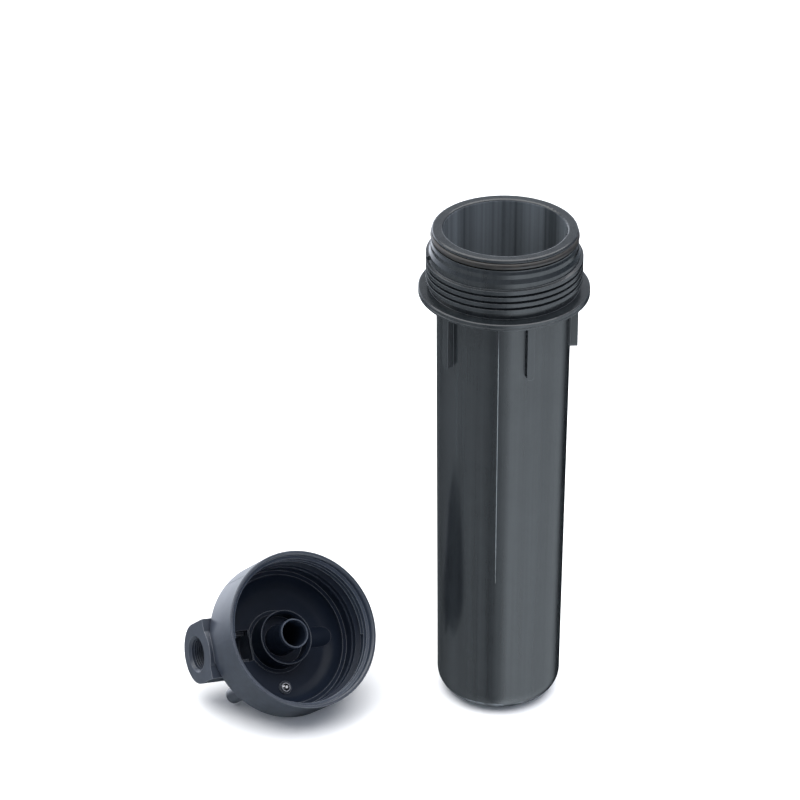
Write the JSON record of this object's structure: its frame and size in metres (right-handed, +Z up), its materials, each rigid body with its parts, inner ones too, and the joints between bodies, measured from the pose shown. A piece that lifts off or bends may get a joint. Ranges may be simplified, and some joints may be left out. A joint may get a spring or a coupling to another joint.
{
  "type": "cartridge filter housing",
  "caption": "Canister filter housing: a tall ribbed sump standing upright, with its screw-on ported head lying beside it, mouth up.",
  "frame": {"origin": "centre of the sump's base, on the floor", "axes": "+Z up along the sump's axis, -Y the front, +X to the right seen from the front"},
  "size_m": [0.3053, 0.1461, 0.395],
  "materials": {
    "sump_plastic": "satin gloss, moulded polypropylene",
    "head_plastic": "satin, moulded polypropylene",
    "button_plastic": "satin",
    "seal_rubber": "matt, greased",
    "stainless": "bright"
  },
  "bodies": {
    "sump": {"sump_body": "sump_plastic", "sump_seal_ring": "seal_rubber"},
    "head": {"head_shell": "head_plastic", "outlet_spigot": "head_plastic", "relief_spring": "stainless"},
    "relief_valve": {"relief_button": "button_plastic", "relief_stem": "stainless", "relief_seal_ring": "seal_rubber", "relief_star_washer": "stainless"}
  },
  "joints": [
    {"name": "head_lift", "type": "slide", "parent": "sump", "child": "head", "axis": [0, 0, 1], "range_m": [0, 0.45]},
    {"name": "relief_press", "type": "slide", "parent": "head", "child": "relief_valve", "axis": [0.4401, -0.6239, 0.6458], "range_m": [0, 0.002], "stiffness_N_per_m": 3000, "springref_m": -0.002, "deforming": ["relief_spring"]}
  ]
}
